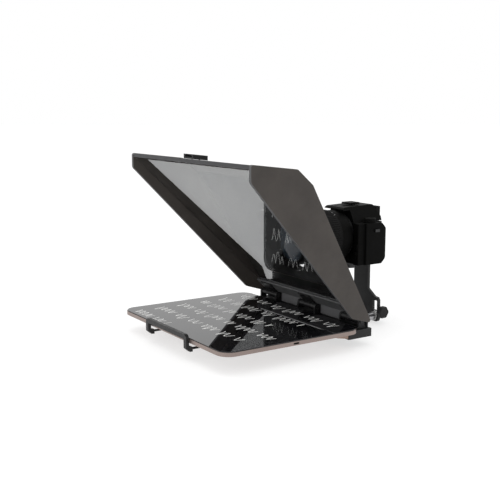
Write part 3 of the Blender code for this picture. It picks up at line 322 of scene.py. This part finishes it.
SCREEN = screen_glass()
SPLITTER = splitter_glass()
LENS = lens_glass()
# painted shade: near-black for the hollow of the tablet's port
PORT_SHADE_BLACK = coated("painted_port_shade", (0.003, 0.003, 0.003), 0.8, specular=0.1, grain=1500.0,
              depth=0.00003, edge_wear_and_highlight=(0.006, 0.006, 0.006), edge_wear_and_highlight_share=0.2)
STROKE = glowing("script_light", (0.80, 0.80, 0.78), 0.26)
MARK = coated("pale_marking", (0.42, 0.42, 0.41), 0.55, specular=0.3, grain=2000.0,
              depth=0.00001, edge_wear_and_highlight=(0.4, 0.4, 0.4), edge_wear_and_highlight_share=0.3)
LIP_METAL = coated("lip_metal", (0.105, 0.105, 0.108), 0.40, specular=0.35, grain=3000.0,
                   depth=0.00003, edge_wear_and_highlight=(0.12, 0.12, 0.12), edge_wear_and_highlight_share=0.5)

FINISHES = {
    "satin_black_metal": BLACK_METAL, "panel_grey": SIDE_PANEL, "cover_black": COVER, "steel": STEEL,
    "blackened_steel": DARK_STEEL, "sleeve_grey": SLEEVE, "knob_black": KNOB, "beam_splitter_glass": SPLITTER,
    "tablet_aluminium": ALUMINIUM, "screen_glass": SCREEN, "rest_rubber": REST, "black_rubber": RUBBER,
    "camera_black": CAMERA, "button_metal": BUTTON, "lens_glass": LENS,
}
OWN_FINISH = {"camera_grip": GRIP, "mirror_lip": LIP_METAL, "top_panel": ROOF}

for piece in frame["record"]["subparts"]:
    node = frame["nodes"][piece["node"]]
    finish = OWN_FINISH.get(piece["node"], FINISHES[piece["material_slot"]])
    node.data.materials.clear()
    node.data.materials.append(finish)


# ---------------------------------------------------------------- mesh helpers

SCREW_STEPS = 24


def piece_from(name, bm, material, body, smooth=False):
    """A finished object from a bmesh already in place, riding on a body."""
    bmesh.ops.recalc_face_normals(bm, faces=bm.faces)
    data = bpy.data.meshes.new(name)
    bm.to_mesh(data)
    bm.free()
    data.materials.append(material)
    if smooth:
        data.shade_smooth()
        data.set_sharp_from_angle(angle=math.radians(38.0))
    made = bpy.data.objects.new(name, data)
    bpy.context.scene.collection.objects.link(made)
    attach(made, body)
    return made


def ring_of(bm, points):
    """New vertices at the points, in their order."""
    return [bm.verts.new(p) for p in points]


def bridge(bm, a, b):
    """Faces between two closed rings of equally many points."""
    count = len(a)
    for i in range(count):
        bm.faces.new((a[i], a[(i + 1) % count], b[(i + 1) % count], b[i]))


def turned(bm, profile, stand, steps, teeth=0, depth=0.0, ribbed=(), solid=False):
    """Ring turned about the Z axis of stand, from (radius, height) points; solid closes its two ends.

    The points whose places in the profile are listed in ribbed get teeth cut into them.
    """
    rings = []
    for index, (radius, height) in enumerate(profile):
        points = []
        for step in range(steps):
            angle = 2.0 * math.pi * step / steps
            grooved = index in ribbed and (step * teeth * 2 // steps) % 2
            r = radius - depth if grooved else radius
            points.append(stand @ Vector((r * math.cos(angle), r * math.sin(angle), height)))
        rings.append(ring_of(bm, points))
    following = rings[1:] if solid else rings[1:] + rings[:1]
    for a, b in zip(rings, following):
        bridge(bm, a, b)
    if solid:
        bm.faces.new(rings[0])
        bm.faces.new(rings[-1])


def slab(bm, low, high, bevel=0.0, matrix=None):
    """Box between two corners, with its edges rounded by bevel or its place turned by matrix."""
    made = bmesh.ops.create_cube(bm, size=1.0)["verts"]
    size = Vector(high) - Vector(low)
    middle = (Vector(high) + Vector(low)) / 2.0
    for v in made:
        v.co = Vector((v.co.x * size.x, v.co.y * size.y, v.co.z * size.z)) + middle
    if bevel:
        edges = list({e for v in made for e in v.link_edges})
        bmesh.ops.bevel(bm, geom=edges, offset=bevel, segments=3, profile=0.5, affect="EDGES")
    if matrix is not None:
        bmesh.ops.transform(bm, matrix=matrix, verts=made)


def screw_head(bm, centre, axis, radius, height):
    """Domed screw head with a hexagon socket, standing on a face along axis."""
    turn = Vector(axis).to_track_quat("Z", "Y").to_matrix().to_4x4()
    turn.translation = Vector(centre)
    angles = [2.0 * math.pi * k / SCREW_STEPS for k in range(SCREW_STEPS)]
    rim = [radius] * SCREW_STEPS
    crown = [radius * 0.82] * SCREW_STEPS
    socket = [hex_radius(radius * 0.5, angle) for angle in angles]
    levels = ((rim, 0.0), (rim, height * 0.55), (crown, height), (socket, height), (socket, height * 0.25))
    rings = []
    for radii, z in levels:
        points = [Vector((r * math.cos(a), r * math.sin(a), z)) for r, a in zip(radii, angles)]
        rings.append(ring_of(bm, [turn @ point for point in points]))
    for a, b in zip(rings, rings[1:]):
        bridge(bm, a, b)
    bm.faces.new(rings[0])
    bm.faces.new(rings[-1])


def hex_radius(radius, angle):
    """Distance from the middle to a hexagon's side in that direction."""
    part = (angle % (math.pi / 3.0)) - math.pi / 6.0
    return radius * math.cos(math.pi / 6.0) / math.cos(part)


def ribbon(bm, points, width, z):
    """Flat stroke of even width along points in a level plane."""
    left, right = [], []
    for i, p in enumerate(points):
        ahead = Vector(points[min(i + 1, len(points) - 1)]) - Vector(points[max(i - 1, 0)])
        side = Vector((-ahead.y, ahead.x)).normalized() * width / 2.0
        left.append(bm.verts.new((p[0] + side.x, p[1] + side.y, z)))
        right.append(bm.verts.new((p[0] - side.x, p[1] - side.y, z)))
    for i in range(len(points) - 1):
        bm.faces.new((left[i], left[i + 1], right[i + 1], right[i]))


# ---------------------------------------------------------------- the display's strokes

LINE_ENDS = (-0.028, 0.103, 0.120, 0.062, 0.083, 0.121)
LINE_START = -0.117
LINE_PITCH = 0.0361
LAST_LINE_INSET = 0.0135     # from the glass's rear edge
GROUP_LENGTHS = (0.017, 0.0255, 0.034, 0.0425)
GROUP_SPACE = 0.0105
WAVE_WIDTH = 0.0104
WAVE_HEIGHT = 0.0135
TALL_WAVE = 1.4              # how much higher the few tall waves are
TALL_SHARE = 0.3
WAVE_LEAN = 0.12
WAVE_STEPS = 12
STROKE_WIDTH = 0.0012
STROKE_LIFT = 0.00004        # above the glass
FIRST_SEED = 11


def scribble(bm, start, end, base_y, z, seed):
    """One line of made-up strokes: slanted waves in groups, with no letters in it."""
    rng = random.Random(seed)
    x = start
    while x < end:
        length = min(rng.choice(GROUP_LENGTHS), end - x)
        waves = max(1, round(length / WAVE_WIDTH))
        step = length / waves
        points = []
        for k in range(waves):
            height = WAVE_HEIGHT * (TALL_WAVE if rng.random() < TALL_SHARE else 1.0)
            lean = rng.uniform(-WAVE_LEAN, WAVE_LEAN)
            for t in range(WAVE_STEPS):
                turn = t / WAVE_STEPS * 2.0 * math.pi
                points.append((x + step * (k + t / WAVE_STEPS) + math.sin(turn) * step * lean,
                               base_y - height * (0.5 - 0.5 * math.cos(turn))))
        ribbon(bm, points, STROKE_WIDTH, z)
        x += length + GROUP_SPACE


screen_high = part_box("tablet_screen")[1]
strokes = bmesh.new()
for row, line_end in enumerate(LINE_ENDS):
    rows_left = len(LINE_ENDS) - 1 - row
    line_y = screen_high.y - LAST_LINE_INSET - LINE_PITCH * rows_left
    scribble(strokes, LINE_START, line_end, line_y, screen_high.z + STROKE_LIFT, FIRST_SEED + row)
piece_from("script_strokes", strokes, STROKE, "base")


# ---------------------------------------------------------------- lens

LENS_STEPS = 96
TUBE_R = 0.0303
SHOULDER_DROP = 0.0009       # from the grip band down to the ring's shoulders
CHAMFER_DROP = 0.0016
CHAMFER_WIDTH = 0.0007

barrel_low, barrel_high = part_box("lens_barrel")
LENS_Z = (barrel_low.z + barrel_high.z) / 2.0
LENS_STAND = Matrix.Translation((0.0, 0.0, LENS_Z)) @ Matrix.Rotation(-math.pi / 2.0, 4, "X")


def ribbed_ring(name, node, body, teeth, depth):
    """The grip ring of a lens, with grooves along the axis in a raised band."""
    low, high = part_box(node)
    outer = (high.x - low.x) / 2.0
    shoulder = outer - SHOULDER_DROP
    chamfer = outer - CHAMFER_DROP
    span = high.y - low.y
    profile = [(TUBE_R, low.y), (chamfer, low.y),
               (shoulder, low.y + CHAMFER_WIDTH), (shoulder, low.y + span * 0.14),
               (outer, low.y + span * 0.17), (outer, low.y + span * 0.83),
               (shoulder, low.y + span * 0.86), (shoulder, high.y - CHAMFER_WIDTH),
               (chamfer, high.y), (TUBE_R, high.y)]
    bm = bmesh.new()
    turned(bm, profile, LENS_STAND, teeth * 4, teeth, depth, (4, 5))
    made = piece_from(name, bm, RUBBER, body)
    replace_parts(made, node)


ribbed_ring("zoom_ring_ribbed", "zoom_ring", "zoom", 72, 0.0009)
ribbed_ring("focus_ring_ribbed", "focus_ring", "focus", 96, 0.0007)

# the front element fills the rim, so its dome and the thin retaining ring round it stand in for the CAD disc
DOME_R = 0.0328
DOME_SEAT = 0.0062           # behind the rim's front edge
DOME_THICKNESS = 0.0012
DOME_BULGE = 0.0040
DOME_RINGS = 13
RETAINER = ((0.0334, 0.0052), (0.0334, 0.0066), (0.0322, 0.0066), (0.0320, 0.0060), (0.0326, 0.0052))
# the retaining ring's section: radius, and distance behind the rim's front edge

rim_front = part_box("lens_front_rim")[0].y
dome = [(DOME_R, rim_front + DOME_SEAT + DOME_THICKNESS)]
for step in range(DOME_RINGS):
    out = 1.0 - step / (DOME_RINGS - 0.5)
    dome.append((DOME_R * out, rim_front + DOME_SEAT - DOME_BULGE * (1.0 - out * out)))
element = bmesh.new()
turned(element, dome, LENS_STAND, LENS_STEPS, solid=True)
front_element = piece_from("front_element_dome", element, LENS, "carriage", smooth=True)
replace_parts(front_element, "front_element")

retainer = bmesh.new()
turned(retainer, [(radius, rim_front + behind) for radius, behind in RETAINER], LENS_STAND, LENS_STEPS)
piece_from("lens_retaining_ring", retainer, CAMERA, "carriage", smooth=True)

# pale ticks on the zoom ring's rear shoulder
TICK_HALF = 0.00022
TICK_START = 0.0031          # from the ring's rear edge
TICK_END = 0.0010
TICK_SUNK = 0.0002
TICK_PROUD = 0.00003

zoom_low, zoom_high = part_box("zoom_ring")
reach = (zoom_high.x - zoom_low.x) / 2.0 - SHOULDER_DROP
shift = Matrix.Translation((0.0, 0.0, LENS_Z))
ticks = bmesh.new()
for degrees in range(-30, 31, 10):
    turn = Matrix.Rotation(math.radians(degrees), 4, "Y")
    slab(ticks, (-TICK_HALF, zoom_high.y - TICK_START, reach - TICK_SUNK),
         (TICK_HALF, zoom_high.y - TICK_END, reach + TICK_PROUD), matrix=shift @ turn)
piece_from("zoom_ticks", ticks, MARK, "zoom")


# ---------------------------------------------------------------- camera details

KNURLS = 36
KNURL_DEPTH = 0.0004
PIPS = 8
PIP_INNER = 0.0028           # from the dial's rim
PIP_OUTER = 0.0015
PIP_HALF = 0.0002
PIP_DEPTH = 0.0002

dial_low, dial_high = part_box("mode_dial")
DIAL_STAND = Matrix.Translation(((dial_low.x + dial_high.x) / 2.0, (dial_low.y + dial_high.y) / 2.0,
                                 dial_low.z))
dial_r = (dial_high.x - dial_low.x) / 2.0
dial_h = dial_high.z - dial_low.z
dial_side = [(dial_r - 0.0004, 0.0), (dial_r, 0.0005), (dial_r, dial_h - 0.0010)]
dial_top = [(dial_r - 0.0007, dial_h - 0.0003), (dial_r - 0.0013, dial_h),
            (dial_r - 0.0030, dial_h), (dial_r - 0.0036, dial_h - 0.0004)]
dial = bmesh.new()
turned(dial, dial_side + dial_top, DIAL_STAND, KNURLS * 4, KNURLS, KNURL_DEPTH, (1, 2), solid=True)
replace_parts(piece_from("mode_dial_knurled", dial, CAMERA, "dial"), "mode_dial")
pips = bmesh.new()
for k in range(PIPS):
    turn = DIAL_STAND @ Matrix.Rotation(k * 2.0 * math.pi / PIPS, 4, "Z")
    slab(pips, (dial_r - PIP_INNER, -PIP_HALF, dial_h - PIP_DEPTH),
         (dial_r - PIP_OUTER, PIP_HALF, dial_h), matrix=turn)
piece_from("dial_ticks", pips, MARK, "dial")

# small cover on the column, above the lens release button
SWITCH_HALF = 0.0045
SWITCH_BOTTOM = 0.0035       # above the button
SWITCH_TOP = 0.0115
SWITCH_DEPTH = 0.0014
SWITCH_ROUNDING = 0.0006

release_low, release_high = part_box("lens_release_button")
release_x = (release_low.x + release_high.x) / 2.0
switch = bmesh.new()
slab(switch, (release_x - SWITCH_HALF, release_low.y, release_high.z + SWITCH_BOTTOM),
     (release_x + SWITCH_HALF, release_low.y + SWITCH_DEPTH, release_high.z + SWITCH_TOP),
     SWITCH_ROUNDING)
piece_from("column_switch_cover", switch, CAMERA, "carriage", smooth=True)

# glass of the rear display, inside a bezel
BEZEL_X = 0.0045
BEZEL_Z = 0.0032
GLASS_SUNK = 0.0004
GLASS_PROUD = 0.0003
GLASS_ROUNDING = 0.00025

display_low, display_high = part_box("rear_display")
panel = bmesh.new()
slab(panel, (display_low.x + BEZEL_X, display_high.y - GLASS_SUNK, display_low.z + BEZEL_Z),
     (display_high.x - BEZEL_X, display_high.y + GLASS_PROUD, display_high.z - BEZEL_Z), GLASS_ROUNDING)
piece_from("display_glass", panel, SCREEN, "carriage", smooth=True)

# eyepiece window, set into the cup
WINDOW_HALF_X = 0.0100
WINDOW_HALF_Z = 0.0042
WINDOW_BACK = 0.0046         # from the cup's rear face
WINDOW_FRONT = 0.0050
WINDOW_ROUNDING = 0.00015

cup_low, cup_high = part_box("eyecup")
cup_z = (cup_low.z + cup_high.z) / 2.0
eyepiece = bmesh.new()
slab(eyepiece, (-WINDOW_HALF_X, cup_high.y - WINDOW_FRONT, cup_z - WINDOW_HALF_Z),
     (WINDOW_HALF_X, cup_high.y - WINDOW_BACK, cup_z + WINDOW_HALF_Z), WINDOW_ROUNDING)
piece_from("eyepiece_window", eyepiece, SCREEN, "carriage", smooth=True)


# ---------------------------------------------------------------- hinge and cover details

# two screws on each hinge leaf's slanted face
LEAF_SCREW_Y = -0.0016
LEAF_SCREW_Z = 0.0472
LEAF_SCREW_SIDE = 0.0085
LEAF_FACING = (0, -1, -1)
SCREW_R = 0.0019
SCREW_HEIGHT = 0.0008

leaf_screws = bmesh.new()
for index in (1, 2, 3):
    leaf_low, leaf_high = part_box("hinge_leaf_%d" % index)
    middle = (leaf_low.x + leaf_high.x) / 2.0
    for side in (-LEAF_SCREW_SIDE, LEAF_SCREW_SIDE):
        place = (middle + side, LEAF_SCREW_Y, LEAF_SCREW_Z)
        screw_head(leaf_screws, place, LEAF_FACING, SCREW_R, SCREW_HEIGHT)
piece_from("leaf_screws", leaf_screws, DARK_STEEL, "hood", smooth=True)

# rolled hem round the sleeve's rear mouth
HALF_SLEEVE_WALL = 0.0007
HEM_R = 0.0008
HEM_SIDES = 8

sleeve_low, sleeve_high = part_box("cover_sleeve")
sleeve_r = (sleeve_high.x - sleeve_low.x) / 2.0 - HALF_SLEEVE_WALL
hem_section = []
for k in range(HEM_SIDES):
    turn = k * 2.0 * math.pi / HEM_SIDES
    hem_section.append((sleeve_r + HEM_R * math.cos(turn), sleeve_high.y + HEM_R * math.sin(turn)))
hem = bmesh.new()
turned(hem, hem_section, LENS_STAND, LENS_STEPS)
piece_from("cover_sleeve_hem", hem, COVER, "hood", smooth=True)

# foam strip along the rib behind the hinges, which closes the last of the gap under the mirror's channel
SEAL_HALF = 0.1190
SEAL_HEIGHT = 0.0034
SEAL_FRONT = 0.0032          # from the rib's rear face
SEAL_BACK = 0.0016
SEAL_GAP = 0.0001
SEAL_ROUNDING = 0.0004

bar_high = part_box("base_bar")[1]
seal = bmesh.new()
slab(seal, (-SEAL_HALF, bar_high.y - SEAL_FRONT, bar_high.z + SEAL_GAP),
     (SEAL_HALF, bar_high.y - SEAL_BACK, bar_high.z + SEAL_HEIGHT), SEAL_ROUNDING)
piece_from("rear_seal_strip", seal, RUBBER, "base", smooth=True)

# painted shade: a near-black block set inside the port in the tablet's right edge, darkening its hollow
PORT_SHADE_INNER = 0.0048        # from the tablet's right edge
PORT_SHADE_OUTER = 0.0007
PORT_SHADE_HALF_Y = 0.0043
PORT_SHADE_HALF_Z = 0.0011
PORT_SHADE_ROUNDING = 0.0004

shell_low, shell_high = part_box("tablet_housing")
port_y = (shell_low.y + shell_high.y) / 2.0
port_z = (shell_low.z + shell_high.z) / 2.0
port_shade = bmesh.new()
slab(port_shade, (shell_high.x - PORT_SHADE_INNER, port_y - PORT_SHADE_HALF_Y, port_z - PORT_SHADE_HALF_Z),
     (shell_high.x - PORT_SHADE_OUTER, port_y + PORT_SHADE_HALF_Y, port_z + PORT_SHADE_HALF_Z), PORT_SHADE_ROUNDING)
piece_from("port_shade_block", port_shade, PORT_SHADE_BLACK, "base", smooth=True)


# ---------------------------------------------------------------- floor, light, camera

FLOOR_RADIUS = 14.0
FLOOR_Z = -0.0004
FLOOR_GLOW = 0.62            # keeps the floor pale, like a lit white table
SKY_STRENGTH = 1.0
CAMERA_PLACE = (0.9883, -0.7480, 0.3209)
CAMERA_DIP = 9.4424          # degrees below level
CAMERA_HEADING = 56.5958     # degrees anticlockwise from +Y
CAMERA_LENS = 62.19
SENSOR_WIDTH = 36.0

floor_mesh = bmesh.new()
bmesh.ops.create_circle(floor_mesh, cap_ends=True, segments=96, radius=FLOOR_RADIUS)
floor_data = bpy.data.meshes.new("floor")
floor_mesh.to_mesh(floor_data)
floor_mesh.free()
floor = bpy.data.objects.new("floor", floor_data)
floor.location = (0.0, 0.0, FLOOR_Z)
bpy.context.scene.collection.objects.link(floor)
pale = Graph("pale_floor")
pale_shader = pale.surface(0.0, 0.1)
pale_shade = pale.mix(pale.noise(3.0), (0.39, 0.39, 0.39), (0.41, 0.41, 0.41))
pale.link(pale_shade, pale_shader.inputs["Base Color"])
pale_shader.inputs["Emission Color"].default_value = (1.0, 1.0, 1.0, 1.0)
pale_shader.inputs["Emission Strength"].default_value = FLOOR_GLOW
pale_shader.inputs["Roughness"].default_value = 0.9
floor_data.materials.append(pale.material)

world = bpy.data.worlds.new("studio")
bpy.context.scene.world = world
world.use_nodes = True
sky = world.node_tree.nodes["Background"]
sky.inputs["Color"].default_value = (1.0, 1.0, 1.0, 1.0)
sky.inputs["Strength"].default_value = SKY_STRENGTH


def softbox(name, at, aim, side, power):
    """A square area light of that side in metres and that power in watts."""
    light = bpy.data.lights.new(name, "AREA")
    light.shape = "RECTANGLE"
    light.size, light.size_y = side, side
    light.energy = power
    made = bpy.data.objects.new(name, light)
    made.location = at
    made.rotation_euler = (Vector(aim) - Vector(at)).to_track_quat("-Z", "Y").to_euler()
    bpy.context.scene.collection.objects.link(made)


softbox("overhead", at=(-0.3, -0.3, 1.8), aim=(0.0, -0.05, 0.1), side=1.6, power=9.0)
softbox("front", at=(0.2, -2.0, 0.9), aim=(0.0, 0.0, 0.1), side=1.2, power=7.0)

camera_data = bpy.data.cameras.new("camera")
camera_data.sensor_fit = "HORIZONTAL"
camera_data.sensor_width = SENSOR_WIDTH
camera_data.lens = CAMERA_LENS
camera_data.clip_start = 0.01
camera = bpy.data.objects.new("camera", camera_data)
camera.location = CAMERA_PLACE
camera.rotation_euler = (math.radians(90.0 - CAMERA_DIP), 0.0, math.radians(CAMERA_HEADING))
bpy.context.scene.collection.objects.link(camera)
bpy.context.scene.camera = camera
bpy.context.scene.view_settings.view_transform = "Standard"
